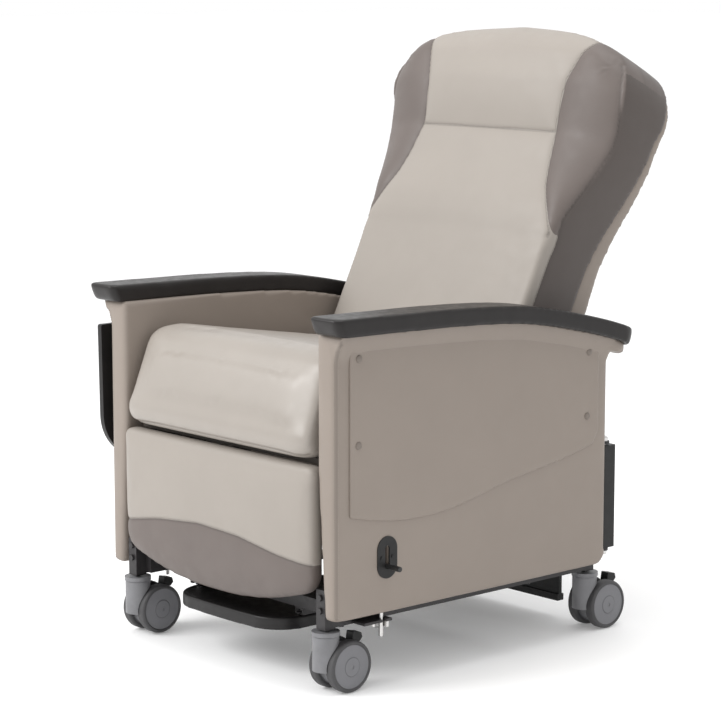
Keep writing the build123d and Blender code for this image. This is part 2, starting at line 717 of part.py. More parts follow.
def arm_body():
    """Upholstered arm: tapered inside, flared to a flange under the cap, with the latch bore."""
    body = side_plate(arm_profile(), (ARM_INNER, ARM_OUTER))
    taper = polygon((
        (ARM_INNER - 5, ARM_BOTTOM - 5), (ARM_INNER_LOW, ARM_BOTTOM - 5), (ARM_INNER_LOW, ARM_BOTTOM),
        (ARM_INNER, ARM_TAPER_TOP), (ARM_INNER - 5, ARM_TAPER_TOP),
    ))
    body -= front_plate(taper, (-10, 900))
    flange = side_plate(cap_band(CAP_THICK, CAP_THICK + FLANGE_DROP), (ARM_INNER + 3, ARM_OUTER + FLANGE_REACH))
    flange_plan = plan_outline(CAP_INNER, ARM_OUTER + FLANGE_REACH, 0, 776, 4, 31)
    body += flange & extrude(flange_plan, amount=900)
    rod_hole = rod_z(LATCH_ROD_R + RUN, LATCH_X, LATCH_Y, (ARM_BOTTOM - 1, 176))
    pocket = block((LATCH_X - 8, LATCH_X + 8), (LATCH_Y - 10, LATCH_Y + 10), (175, 306))
    slot = block((LATCH_X, ARM_OUTER + 1), (LATCH_Y - 7, LATCH_Y + 7), (229, 280))
    return body - rod_hole - pocket - slot


def arm_panel():
    """Thin outer panel with a wavy lower edge."""
    wave = Spline((686, 400), (645, 389), (427, 351), (319, 327), (213, 317), (116, 324), (31, 342))
    frame = Polyline((31, 342), (31, 760), (702, 760), (702, 425), (686, 400))
    face = make_face(wave.edges() + frame.edges()) - above_cap_line(CAP_THICK + FLANGE_DROP + 1)
    return side_plate(face, (ARM_OUTER + 0.1, ARM_OUTER + PANEL_THICK))


def panel_buttons():
    """Four domed button heads."""
    face_x = ARM_OUTER + PANEL_THICK
    half = polygon(((0, 0.1), (7.5, 0.1), (6.9, 1.4), (5.2, 2.5), (2.7, 3.1), (0, 3.3)))
    heads = []
    for y, z in BUTTON_PLACES:
        head = revolve(Plane.XZ * half, Axis.Z, 360)
        heads.append(Pos(face_x, y, z) * Rot(0, 90, 0) * head)
    return group(*heads)


def latch_plate():
    """Round-ended plate over the lever slot."""
    plate = SlotOverall(81, 50)
    slot = SlotOverall(45, 11)
    low, high = ARM_OUTER + 0.1, ARM_OUTER + 3.5
    face = Pos(LATCH_Y, PLATE_MIDDLE_Z) * Rot(0, 0, 90) * (plate - slot)
    body = side_plate(face, (low, high))
    for y in (LATCH_Y - 13.5, LATCH_Y + 13.5):
        body += rod_x(3.6, y, PLATE_MIDDLE_Z, (high - 0.5, high + 1.4))
    return body


def latch_rod():
    """Drop rod with the lever pin that comes out through the slot."""
    rod = rod_z(LATCH_ROD_R, LATCH_X, LATCH_Y, (LATCH_ROD_LOW, 250))
    lever = rod_x(LATCH_ROD_R, LATCH_Y, LATCH_PIN_Z, (LATCH_X, LEVER_TIP - 14))
    grip = rod_x(5.2, LATCH_Y, LATCH_PIN_Z, (LEVER_TIP - 20, LEVER_TIP))
    return rod + lever + fillet(grip.edges(), 1.2)


def hinge_cover():
    """Box over the arm's hinge barrel, open towards the arm."""
    outer = block((285, 335), (734, 772), (174, 386))
    outer = fillet(outer.edges().filter_by(Axis.Z), 5)
    inner = block((288, 332), (730, 769), (177, 383))
    return outer - inner - rod_z(HINGE_PIN_R + 0.4, HINGE_X, HINGE_Y, (170, 390))


def hinge_leaf():
    """Plate on the arm's rear face and the barrel that turns on the hinge pin."""
    plate = block((297, 329), (ARM_REAR + 0.1, 736), (190, 370))
    web = block((HINGE_X - 4, HINGE_X + 4), (735, 745), (190, 370))
    barrel = rod_z(10.5, HINGE_X, HINGE_Y, (182, 378))
    return plate + web + barrel - rod_z(HINGE_PIN_R + RUN, HINGE_X, HINGE_Y, (170, 390))


def arms():
    makers = {
        "arm": arm_body, "arm_cap": arm_cap, "arm_panel": arm_panel, "panel_buttons": panel_buttons,
        "latch_plate": latch_plate, "latch_rod": latch_rod, "hinge_cover": hinge_cover,
        "hinge_leaf": hinge_leaf,
    }
    nodes = {}
    for name, make in makers.items():
        left = make()
        nodes[f"left_{name}"] = left
        nodes[f"right_{name}"] = mirrored(left)
    return nodes


# ---------------------------------------------------------------- side table (right hand)


def side_table():
    """Table leaf hanging from its hinge, with a raised rim and two knuckles."""
    (front, rear), (bottom, top) = TABLE_Y, TABLE_Z
    corners = ((front, top), (front + TABLE_LEAN, bottom), (rear - TABLE_LEAN, bottom), (rear, top))
    face = polygon(corners)
    low = [v for v in face.vertices() if v.Y < bottom + 1]
    face = fillet(low, TABLE_LOW_CORNER)
    high = [v for v in face.vertices() if v.Y > top - 1]
    face = fillet(high, 5)
    sunk = offset(face, amount=-TABLE_RIM[0])
    leaf = side_plate(face, (-TABLE_OUTER, -TABLE_OUTER + TABLE_THICK))
    leaf -= side_plate(sunk, (-TABLE_OUTER - 1, -TABLE_OUTER + TABLE_RIM[1]))
    x, z = TABLE_HINGE
    for y in TABLE_KNUCKLES:
        leaf += rod_y(7, -x, z, y) + block((-TABLE_OUTER + 6, -x), y, (TABLE_Z[1] - 6, z - 2))
        leaf -= rod_y(3.5 + RUN, -x, z, (y[0] - 1, y[1] + 1))
    return leaf


def table_hinge():
    """Brackets on the arm panel, each with a pin through a knuckle."""
    x, z = TABLE_HINGE
    face_x = ARM_OUTER + PANEL_THICK
    solids = []
    for low, high in TABLE_KNUCKLES:
        bracket = block((-face_x - 4, -face_x - 0.1), (low - 14, high + 14), (596, 645))
        for y in ((low - 6, low - 1), (high + 1, high + 6)):
            bracket += block((-x, -face_x), y, (z - 8, z + 8)) + rod_y(8, -x, z, y)
        bracket += rod_y(3.5, -x, z, (low - 6, high + 6))
        solids.append(bracket)
    return group(*solids)


def table():
    return {"side_table": side_table(), "table_hinge": table_hinge()}


def write_parts():
    os.makedirs("parts", exist_ok=True)
    tray = {"foot_tray": foot_tray(), "tray_runners": tray_runners()}
    nodes = {**casters(), **base(), **leg_rest(), **back(), **gas_spring(), **tray, **arms(), **table()}
    place = Location((0, -DEPTH_MIDDLE, 0))
    for name, shape in nodes.items():
        export_step(shape.moved(place), f"parts/{name}.step")
    print(len(nodes), "nodes")


write_parts()
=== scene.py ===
import math

import bmesh
import bpy
import numpy as np
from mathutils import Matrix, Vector
from mathutils.bvhtree import BVHTree
from mathutils.kdtree import KDTree


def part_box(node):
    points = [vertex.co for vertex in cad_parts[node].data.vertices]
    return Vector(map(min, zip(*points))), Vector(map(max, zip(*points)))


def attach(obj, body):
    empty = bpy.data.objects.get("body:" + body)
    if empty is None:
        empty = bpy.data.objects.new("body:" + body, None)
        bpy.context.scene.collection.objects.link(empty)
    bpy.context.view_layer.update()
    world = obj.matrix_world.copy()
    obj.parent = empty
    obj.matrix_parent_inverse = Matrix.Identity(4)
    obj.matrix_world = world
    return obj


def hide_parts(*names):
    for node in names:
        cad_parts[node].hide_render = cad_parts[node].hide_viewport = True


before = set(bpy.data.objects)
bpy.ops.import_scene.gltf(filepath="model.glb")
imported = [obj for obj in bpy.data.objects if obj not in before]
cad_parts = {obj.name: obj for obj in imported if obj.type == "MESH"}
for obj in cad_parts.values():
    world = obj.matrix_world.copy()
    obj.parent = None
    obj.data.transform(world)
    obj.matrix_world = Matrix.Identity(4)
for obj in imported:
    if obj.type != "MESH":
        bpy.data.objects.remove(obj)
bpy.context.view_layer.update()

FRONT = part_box("left_arm")[0].y      # the front faces of the arms; design y is measured from here

# The back's plane: s runs up it and t runs through it, in mm, as in the part's source
TILT = math.radians(27)
BACK_Y, BACK_Z = 571.0, 690.0

# Sizes in design mm
SEAT_HALF, SEAT_LOW, SEAT_HIGH = 284.0, 444.0, 636.0
LEG_HALF, LEG_LOW, LEG_HIGH = 288.0, 150.0, 431.0
HEADREST_SEAM_S, HEADREST_SEAM_HALF = 360, 196
WING_CORNER = (300.0, 503.0)        # x and s where the wing's cover is gathered
ARM_OUT, ARM_FLARE, CAP_DEEP = 345.0, 18.0, 34.0
ARM_TOP_FRONT, ARM_LOW_FRONT = (8, 664.0), (4, 152.0)
PANEL_BUTTONS = ((54, 638), (53, 476), (671, 589), (667, 459))
THREAD_RADIUS, THREAD_SIDES = 0.42, 5
CASTER_Y = {"front": 22, "rear": 729}
WHEEL_TRAIL, WHEEL_HEIGHT = 36, 0.05
TYRE_FROM = 0.0413                  # where the tyre starts, in m from the axle

RELAX_SHARE = 0.5
CLOTH_PRESSURE, CLOTH_FRAMES = 4.0, 20
NO_BAND, NO_CREASE = -10.0, 10.0    # attribute values that leave a surface plain

# ---------------------------------------------------------------- coordinates


def to_design(co):
    """Row frame in metres to design millimetres, with y = 0 at the front of the arms."""
    out = co * 1000.0
    out[:, 1] -= FRONT * 1000.0
    return out


def to_row(co):
    out = np.array(co, float) / 1000.0
    out[:, 1] += FRONT
    return out


def back_to_design(x, s, t):
    y = BACK_Y + s * math.sin(TILT) + t * math.cos(TILT)
    z = BACK_Z + s * math.cos(TILT) - t * math.sin(TILT)
    return np.stack([x, y, z], axis=1)


def design_to_back(co):
    y = co[:, 1] - BACK_Y
    z = co[:, 2] - BACK_Z
    s = y * math.sin(TILT) + z * math.cos(TILT)
    t = y * math.cos(TILT) - z * math.sin(TILT)
    return co[:, 0].copy(), s, t


def curve_of(rows, blur=12.0):
    """A smooth function through (where, value) rows."""
    where = np.array([r[0] for r in rows], float)
    value = np.array([r[1] for r in rows], float)
    grid = np.arange(where[0] - 4 * blur, where[-1] + 4 * blur, 1.0)
    line = np.interp(grid, where, value)
    reach = int(3 * blur)
    kernel = np.exp(-0.5 * (np.arange(-reach, reach + 1) / blur) ** 2)
    kernel /= kernel.sum()
    padded = np.concatenate([np.full(reach, line[0]), line, np.full(reach, line[-1])])
    smooth_line = np.convolve(padded, kernel, mode="valid")
    return lambda at: np.interp(at, grid, smooth_line)


def step(x, low, high):
    """0 below low, 1 above high, smooth between."""
    u = np.clip((x - low) / (high - low), 0, 1)
    return u * u * (3 - 2 * u)


# ---------------------------------------------------------------- meshes


def new_object(name, mesh):
    obj = bpy.data.objects.new(name, mesh)
    bpy.context.scene.collection.objects.link(obj)
    return obj


def remeshed(node, name, voxel):
    """A copy of a CAD node's surface, rebuilt as even quads of about voxel mm."""
    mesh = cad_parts[node].data.copy()
    mesh.materials.clear()
    bm = bmesh.new()
    bm.from_mesh(mesh)
    bmesh.ops.remove_doubles(bm, verts=bm.verts, dist=1e-5)
    bm.to_mesh(mesh)
    bm.free()
    obj = new_object(name, mesh)
    modifier = obj.modifiers.new("remesh", "REMESH")
    modifier.mode = "VOXEL"
    modifier.voxel_size = voxel / 1000.0
    apply_modifiers(obj)
    return obj


def apply_modifiers(obj):
    bpy.context.view_layer.update()
    graph = bpy.context.evaluated_depsgraph_get()
    mesh = bpy.data.meshes.new_from_object(obj.evaluated_get(graph))
    obj.modifiers.clear()
    old = obj.data
    obj.data = mesh
    bpy.data.meshes.remove(old)


def get_co(obj):
    co = np.zeros(len(obj.data.vertices) * 3)
    obj.data.vertices.foreach_get("co", co)
    return to_design(co.reshape(-1, 3))


def set_co(obj, co):
    obj.data.vertices.foreach_set("co", to_row(co).ravel())
    obj.data.update()


def get_normals(obj):
    normals = np.zeros(len(obj.data.vertices) * 3)
    obj.data.vertex_normals.foreach_get("vector", normals)
    return normals.reshape(-1, 3)


def edges_of(obj):
    pairs = np.zeros(len(obj.data.edges) * 2, int)
    obj.data.edges.foreach_get("vertices", pairs)
    return pairs.reshape(-1, 2)


def relax(co, pairs, rounds, keep=None):
    """Laplacian smoothing. keep is 0 where a vertex moves freely and 1 where it stays."""
    a, b = pairs[:, 0], pairs[:, 1]
    count = np.bincount(a, minlength=len(co)) + np.bincount(b, minlength=len(co))
    count = np.maximum(count, 1)[:, None]
    free = RELAX_SHARE if keep is None else (RELAX_SHARE * (1 - keep))[:, None]
    for _ in range(rounds):
        total = np.zeros_like(co)
        for axis in range(3):
            total[:, axis] = np.bincount(a, weights=co[b, axis], minlength=len(co))
            total[:, axis] += np.bincount(b, weights=co[a, axis], minlength=len(co))
        co = co + free * (total / count - co)
    return co


def seam_distance(co, seams):
    tree = KDTree(sum(len(s) for s in seams))
    index = 0
    for seam in seams:
        for point in seam:
            tree.insert(Vector(point), index)
            index += 1
    tree.balance()
    return np.array([tree.find(Vector(c))[2] for c in co])


def dense(points, spacing=2.0):
    """Points along a polyline every few mm."""
    points = np.array(points, float)
    lengths = np.linalg.norm(np.diff(points, axis=0), axis=1)
    along = np.concatenate([[0], np.cumsum(lengths)])
    at = np.arange(0, along[-1], spacing)
    return np.stack([np.interp(at, along, points[:, i]) for i in range(3)], axis=1)


def puff(obj, seams, height, width, groove=0.0, groove_width=3.0):
    """Raises the surface away from its seams, which leaves each seam as a valley."""
    co = get_co(obj)
    gap = seam_distance(co, seams)
    lift = height * (1 - np.exp(-gap / width)) - groove * np.exp(-((gap / groove_width) ** 2))
    co = co + get_normals(obj) * lift[:, None]
    set_co(obj, co)
    return gap


def swell(obj, inset, cap, still):
    """Blows a pad up as cloth from a slightly smaller start.

    No point ends more than cap mm from the pad's own shape, or moves at all where still is 1.
    """
    shape = get_co(obj)
    set_co(obj, shape - get_normals(obj) * inset)
    scene = bpy.context.scene
    cloth = obj.modifiers.new("cloth", "CLOTH")
    cloth.settings.quality = 4
    cloth.settings.mass = 0.3
    cloth.settings.bending_stiffness = 2.0
    cloth.settings.use_pressure = True
    cloth.settings.uniform_pressure_force = CLOTH_PRESSURE
    cloth.settings.effector_weights.gravity = 0.0
    cloth.point_cache.frame_start = 1
    cloth.point_cache.frame_end = CLOTH_FRAMES
    for number in range(1, CLOTH_FRAMES + 1):
        scene.frame_set(number)
    apply_modifiers(obj)
    scene.frame_set(1)
    moved = relax(get_co(obj), edges_of(obj), 1) - shape
    reach = np.linalg.norm(moved, axis=1)
    share = (1 - still) * np.minimum(reach, cap) / np.maximum(reach, 1e-9)
    set_co(obj, shape + moved * share[:, None])
    finer = obj.modifiers.new("finer", "SUBSURF")
    finer.levels = 1
    apply_modifiers(obj)


def store(obj, name, values):
    attribute = obj.data.attributes.new(name, "FLOAT", "POINT")
    attribute.data.foreach_set("value", np.asarray(values, np.float32))


def shade_smooth(obj):
    obj.data.polygons.foreach_set("use_smooth", np.ones(len(obj.data.polygons), bool))
    obj.data.update()


def surface_of(obj):
    """A search tree of a finished piece, in design millimetres."""
    co = get_co(obj)
    faces = [tuple(p.vertices) for p in obj.data.polygons]
    return BVHTree.FromPolygons([Vector(c) for c in co], faces)


def on_surface(tree, points):
    places, normals = [], []
    for point in points:
        place, normal, _, _ = tree.find_nearest(Vector(point))
        places.append(place)
        normals.append(normal)
    return np.array(places), np.array(normals)


def tube_mesh(name, lines, radius, sides):
    """Round tubes along polylines, with closed ends, as one mesh."""
    verts, faces = [], []
    for line in lines:
        line = np.array(line, float)
        tangents = np.gradient(line, axis=0)
        tangents /= np.maximum(np.linalg.norm(tangents, axis=1), 1e-9)[:, None]
        side = np.cross(tangents[0], (0.3, 0.5, 0.81))
        first = len(verts)
        for point, tangent in zip(line, tangents):
            side = side - tangent * np.dot(side, tangent)
            side /= np.linalg.norm(side)
            other = np.cross(tangent, side)
            for k in range(sides):
                turn = 2 * math.pi * k / sides
                verts.append(point + radius * (math.cos(turn) * side + math.sin(turn) * other))
        rings = len(line)
        for i in range(rings - 1):
            for k in range(sides):
                a = first + i * sides + k
                b = first + i * sides + (k + 1) % sides
                faces.append((a, b, b + sides, a + sides))
        faces.append(tuple(first + k for k in reversed(range(sides))))
        faces.append(tuple(first + (rings - 1) * sides + k for k in range(sides)))
    mesh = bpy.data.meshes.new(name)
    mesh.from_pydata([tuple(v) for v in to_row(np.array(verts))], [], faces)
    obj = new_object(name, mesh)
    shade_smooth(obj)
    return obj


def stitch_lines(tree, seam, aside):
    """Short thread dashes that follow a seam on a surface, aside mm to one side of it."""
    long, gap, lift = 3.4, 1.6, 0.35
    path = dense(seam, 1.0)
    places, normals = on_surface(tree, path)
    tangents = np.gradient(places, axis=0)
    tangents /= np.maximum(np.linalg.norm(tangents, axis=1), 1e-9)[:, None]
    aside_way = np.cross(normals, tangents)
    places, normals = on_surface(tree, places + aside_way * aside)
    along = np.concatenate([[0], np.cumsum(np.linalg.norm(np.diff(places, axis=0), axis=1))])
    lines = []
    start = 2.0
    while start + long < along[-1] - 2:
        at = np.linspace(start, start + long, 5)
        rise = lift * np.array([-0.6, 0.7, 1.0, 0.7, -0.6])
        points = np.stack([np.interp(at, along, places[:, i]) for i in range(3)], axis=1)
        facing = np.stack([np.interp(at, along, normals[:, i]) for i in range(3)], axis=1)
        lines.append(points + facing * rise[:, None])
        start += long + gap
    return lines


# ---------------------------------------------------------------- materials


class Nodes:
    """Builds one node material."""

    def __init__(self, name):
        self.material = bpy.data.materials.new(name)
        self.material.use_nodes = True
        self.tree = self.material.node_tree
        self.tree.nodes.clear()
        self.output = self.tree.nodes.new("ShaderNodeOutputMaterial")
        self.shader = self.tree.nodes.new("ShaderNodeBsdfPrincipled")
        self.tree.links.new(self.shader.outputs[0], self.output.inputs[0])
        self.coords = self.tree.nodes.new("ShaderNodeTexCoord").outputs["Object"]

    def link(self, source, target):
        self.tree.links.new(source, target)

    def noise(self, scale, detail=3.0, rough=0.5, coords=None):
        node = self.tree.nodes.new("ShaderNodeTexNoise")
        node.inputs["Scale"].default_value = scale
        node.inputs["Detail"].default_value = detail
        node.inputs["Roughness"].default_value = rough
        self.link(coords or self.coords, node.inputs["Vector"])
        return node.outputs["Fac"]

    def cells(self, scale):
        node = self.tree.nodes.new("ShaderNodeTexVoronoi")
        node.feature = "SMOOTH_F1"
        node.inputs["Scale"].default_value = scale
        self.link(self.coords, node.inputs["Vector"])
        return node.outputs["Distance"]

    def ramp(self, value, low, high, out_low, out_high):
        """out_low at low, out_high at high, smooth between."""
        node = self.tree.nodes.new("ShaderNodeMapRange")
        node.interpolation_type = "SMOOTHSTEP"
        ends = {"From Min": low, "From Max": high, "To Min": out_low, "To Max": out_high}
        for key, number in ends.items():
            node.inputs[key].default_value = number
        self.link(value, node.inputs["Value"])
        return node.outputs[0]

    def mix(self, factor, a, b, blend="MIX"):
        node = self.tree.nodes.new("ShaderNodeMix")
        node.data_type = "RGBA"
        node.blend_type = blend
        for value, socket in ((factor, node.inputs[0]), (a, node.inputs[6]), (b, node.inputs[7])):
            if isinstance(value, bpy.types.NodeSocket):
                self.link(value, socket)
            elif isinstance(value, (int, float)):
                socket.default_value = value
            else:
                socket.default_value = (*value, 1.0)
        return node.outputs[2]

    def maths(self, operation, a, b=0.0):
        node = self.tree.nodes.new("ShaderNodeMath")
        node.operation = operation
        for value, socket in ((a, node.inputs[0]), (b, node.inputs[1])):
            if isinstance(value, bpy.types.NodeSocket):
                self.link(value, socket)
            else:
                socket.default_value = value
        return node.outputs[0]

    def attribute(self, name):
        node = self.tree.nodes.new("ShaderNodeAttribute")
        node.attribute_name = name
        return node.outputs["Fac"]

    def bump(self, height, strength, distance, under=None):
        node = self.tree.nodes.new("ShaderNodeBump")
        node.inputs["Strength"].default_value = strength
        node.inputs["Distance"].default_value = distance
        self.link(height, node.inputs["Height"])
        if under is not None:
            self.link(under, node.inputs["Normal"])
        return node.outputs[0]

    def finish(self, colour, roughness, normal=None, **fixed):
        if isinstance(colour, bpy.types.NodeSocket):
            self.link(colour, self.shader.inputs["Base Color"])
        else:
            self.shader.inputs["Base Color"].default_value = (*colour, 1.0)
        if isinstance(roughness, bpy.types.NodeSocket):
            self.link(roughness, self.shader.inputs["Roughness"])
        else:
            self.shader.inputs["Roughness"].default_value = roughness
        if normal is not None:
            self.link(normal, self.shader.inputs["Normal"])
        for key, value in fixed.items():
            self.shader.inputs[key.replace("_", " ")].default_value = value
        return self.material


LIGHT = (0.290, 0.262, 0.234)
# The light vinyl again, darker: painted shade for the arms, their side panels and buttons, and the back's
# shell
LIGHT_VINYL_IN_PAINTED_SHADE = (0.240, 0.203, 0.174)
DARK = (0.122, 0.102, 0.093)


def mottled(n, value, colour, down, up):
    """The colour, a little darker and lighter with the value."""
    dark, light = (tuple(c * share for c in colour) for share in (down, up))
    return n.mix(n.ramp(value, 0.3, 0.7, 0.0, 1.0), dark, light)


def vinyl(name, colour, second=None, roughness=0.40, shine=0.40):
    """Upholstery vinyl: pebbled grain, soft blotches, and a second colour where tone is above 0.

    The second colour is darkened where band is above 0, as painted shade on the back's side walls, and all of
    it darkens where crease is near 0, as painted shade in the seams' valleys.
    """
    n = Nodes(name)
    blotch = n.noise(9.0, 4.0, 0.55)
    base = mottled(n, blotch, colour, 0.985, 1.015)
    if second is not None:
        other = mottled(n, blotch, second, 0.96, 1.04)
        # painted shade: the second colour at 0.66 of itself where band is above 0, on the back's side walls
        side_painted_shade = tuple(c * 0.66 for c in second)
        other = n.mix(n.ramp(n.attribute("band"), -2.0, 2.0, 0.0, 1.0), other, side_painted_shade)
        base = n.mix(n.ramp(n.attribute("tone"), -0.35, 0.35, 0.0, 1.0), base, other)
    # painted shade: the colour falls to 0.72 within 5 mm of a seam, in its valley
    seam_painted_shade = n.ramp(n.attribute("crease"), 0.0, 5.0, 0.72, 1.0)
    base = n.mix(1.0, base, grey_of(n, seam_painted_shade), "MULTIPLY")
    grain = n.cells(780.0)
    fine = n.noise(2600.0, 2.0, 0.6)
    height = n.maths("ADD", n.maths("MULTIPLY", grain, 0.8), n.maths("MULTIPLY", fine, 0.35))
    soft = n.bump(n.noise(16.0, 3.0, 0.5), 0.05, 0.004)
    normal = n.bump(height, 0.22, 0.00035, soft)
    rough = n.ramp(n.noise(34.0, 3.0), 0.3, 0.7, roughness - 0.035, roughness + 0.045)
    return n.finish(base, rough, normal, Specular_IOR_Level=shine)


def grey_of(n, value):
    node = n.tree.nodes.new("ShaderNodeCombineColor")
    for socket in node.inputs:
        n.link(value, socket)
    return node.outputs[0]


def plastic(name, colour, roughness, grain, strength, shine=0.5):
    """Moulded plastic: a fine grain of the given scale and strength."""
    n = Nodes(name)
    cloud = n.noise(22.0, 4.0)
    base = mottled(n, cloud, colour, 0.88, 1.10)
    rough = n.ramp(n.noise(60.0, 3.0), 0.3, 0.7, roughness - 0.05, roughness + 0.05)
    normal = n.bump(n.noise(grain, 3.0, 0.6), strength, 0.0004)
    return n.finish(base, rough, normal, Specular_IOR_Level=shine)


def paint(name, colour, roughness=0.42):
    """Powder coat: a fine orange peel over steel."""
    n = Nodes(name)
    cloud = n.noise(30.0, 3.0)
    base = mottled(n, cloud, colour, 0.9, 1.12)
    rough = n.ramp(n.noise(90.0, 3.0), 0.3, 0.7, roughness - 0.06, roughness + 0.06)
    normal = n.bump(n.noise(650.0, 2.0, 0.5), 0.25, 0.0004)
    return n.finish(base, rough, normal, Specular_IOR_Level=0.35)


def steel(name, colour=(0.62, 0.61, 0.60), roughness=0.28):
    """Bright steel with fine drawn lines along z."""
    n = Nodes(name)
    stretched = n.tree.nodes.new("ShaderNodeMapping")
    stretched.inputs["Scale"].default_value = (60.0, 60.0, 1400.0)
    n.link(n.coords, stretched.inputs["Vector"])
    lines = n.noise(1.0, 3.0, 0.6, stretched.outputs[0])
    base = n.mix(lines, tuple(c * 0.85 for c in colour), tuple(c * 1.1 for c in colour))
    rough = n.ramp(lines, 0.3, 0.7, roughness - 0.06, roughness + 0.1)
    normal = n.bump(lines, 0.12, 0.0002)
    return n.finish(base, rough, normal, Metallic=1.0)


def wood(name):
    """Dark plywood, its grain along x."""
    n = Nodes(name)
    stretched = n.tree.nodes.new("ShaderNodeMapping")
    stretched.inputs["Scale"].default_value = (4.0, 60.0, 60.0)
    n.link(n.coords, stretched.inputs["Vector"])
    lines = n.noise(1.5, 5.0, 0.6, stretched.outputs[0])
    base = n.mix(lines, (0.035, 0.028, 0.022), (0.060, 0.048, 0.038))
    return n.finish(base, n.ramp(lines, 0.3, 0.7, 0.5, 0.65), n.bump(lines, 0.2, 0.0006))


def wheel_material(name, centre_y):
    """Grey disc with a darker tyre, told apart by the distance from the axle."""
    n = Nodes(name)
    split = n.tree.nodes.new("ShaderNodeSeparateXYZ")
    n.link(n.coords, split.inputs[0])
    y = n.maths("SUBTRACT", split.outputs[1], centre_y)
    z = n.maths("SUBTRACT", split.outputs[2], WHEEL_HEIGHT)
    radius = n.maths("SQRT", n.maths("ADD", n.maths("MULTIPLY", y, y), n.maths("MULTIPLY", z, z)))
    cloud = n.noise(40.0, 3.0)
    disc = n.mix(cloud, (0.138, 0.138, 0.148), (0.158, 0.158, 0.168))
    tyre = n.mix(cloud, (0.042, 0.041, 0.043), (0.058, 0.057, 0.059))
    ring = n.ramp(radius, 0.0170, 0.0180, 1.0, 0.0)
    ring_out = n.ramp(radius, 0.0185, 0.0195, 0.0, 1.0)
    line = n.maths("ADD", ring, ring_out)
    disc = n.mix(line, (0.085, 0.085, 0.09), disc)
    base = n.mix(n.ramp(radius, TYRE_FROM, TYRE_FROM + 0.0008, 0.0, 1.0), disc, tyre)
    rough = n.ramp(radius, 0.041, 0.043, 0.42, 0.62)
    return n.finish(base, rough, n.bump(n.noise(700.0, 3.0), 0.15, 0.0003))


def lever_material(name):
    """Steel rod whose lever, outside the arm, is sleeved in black."""
    n = Nodes(name)
    split = n.tree.nodes.new("ShaderNodeSeparateXYZ")
    n.link(n.coords, split.inputs[0])
    out = n.maths("ABSOLUTE", split.outputs[0])
    sleeve = n.ramp(out, 0.3440, 0.3450, 0.0, 1.0)
    cloud = n.noise(90.0, 3.0)
    metal = n.mix(cloud, (0.50, 0.49, 0.48), (0.66, 0.65, 0.64))
    base = n.mix(sleeve, metal, (0.014, 0.014, 0.014))
    rough = n.ramp(sleeve, 0.0, 1.0, 0.30, 0.48)
    n.link(n.ramp(sleeve, 0.0, 1.0, 1.0, 0.0), n.shader.inputs["Metallic"])
    return n.finish(base, rough, n.bump(n.noise(900.0, 3.0), 0.12, 0.0003))


def dress(obj, material):
    obj.data.materials.clear()
    obj.data.materials.append(material)


vinyl_light = vinyl("vinyl_light", LIGHT, roughness=0.36, shine=0.5)
# a copy of the light vinyl with painted shade in its colour
vinyl_light_painted_shade = vinyl("vinyl_light_painted_shade", LIGHT_VINYL_IN_PAINTED_SHADE, roughness=0.46)
vinyl_two = vinyl("vinyl_two_tone", LIGHT, DARK, roughness=0.47, shine=0.32)
thread_light = plastic("thread_light", (0.27, 0.24, 0.21), 0.7, 3000.0, 0.3)
cap_black = plastic("cap_black", (0.014, 0.012, 0.0115), 0.38, 1500.0, 0.12, shine=0.30)
black_plastic = plastic("black_plastic", (0.012, 0.012, 0.012), 0.46, 900.0, 0.25, shine=0.30)
tray_black = plastic("tray_black", (0.012, 0.011, 0.011), 0.40, 500.0, 0.18, shine=0.30)
grey_plastic = plastic("caster_grey", (0.160, 0.160, 0.168), 0.40, 700.0, 0.12)
charcoal = paint("frame_charcoal", (0.026, 0.024, 0.025))
bright = steel("bright_steel")
rod_finish = lever_material("latch_rod_finish")
plywood = wood("plywood")

# ---------------------------------------------------------------- seat cushion


def make_seat():
    pad = remeshed("seat_cushion", "seat_pad", 6.0)
    co = get_co(pad)
    across = np.clip(np.abs(co[:, 0]) / SEAT_HALF, 0, 1)
    edge = np.clip((SEAT_HALF - np.abs(co[:, 0])) / 45.0, 0, 1)
    up = np.clip((co[:, 2] - SEAT_LOW) / (SEAT_HIGH - SEAT_LOW), 0, 1)
    front = 1 - step(co[:, 1], 0, 130)
    co[:, 2] += 3.5 * (1 - across ** 2.2) * up ** 2
    co[:, 2] -= 9.0 * (1 - edge) ** 2.4 * step(up, 0.35, 1.0)
    co[:, 1] += 10.0 * (1 - edge) ** 2.4 * front
    co[:, 1] -= 5.0 * (1 - across ** 2) * front * np.sin(np.clip(up, 0, 1) * math.pi) ** 0.7
    co[:, 2] += 9.0 * (1 - edge) ** 2.4 * (1 - step(up, 0.0, 0.4)) * front
    pull = np.sin(np.clip((co[:, 1] - 30) / 500, 0, 1) * math.pi)
    co[:, 0] -= np.sign(co[:, 0]) * 5.0 * across ** 6 * (1 - pull)
    co = relax(co, edges_of(pad), 11)
    set_co(pad, co)
    swell(pad, 4.0, 4.0, still=1 - step(co[:, 2], 455, 520))
    return pad


def finish_seat(pad):
    rows = []
    for x in np.linspace(-270, 270, 60):
        rows.append((x, -12 + 16 * (abs(x) / 270) ** 6, 452.0))
    seams = [dense(rows)]
    gap = puff(pad, seams, 2.0, 14.0, 2.5, 4.0)
    store(pad, "crease", gap)
    shade_smooth(pad)
    dress(pad, vinyl_light)
    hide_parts("seat_cushion")
    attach(pad, "base")


# ---------------------------------------------------------------- leg rest cushion

# Height of the seam between the leg rest's two colours, across the chair
leg_seam_z = curve_of(((-300, 244), (-283, 245), (-166, 266), (-38, 278), (86, 273), (204, 254),
                       (288, 246), (300, 246)))


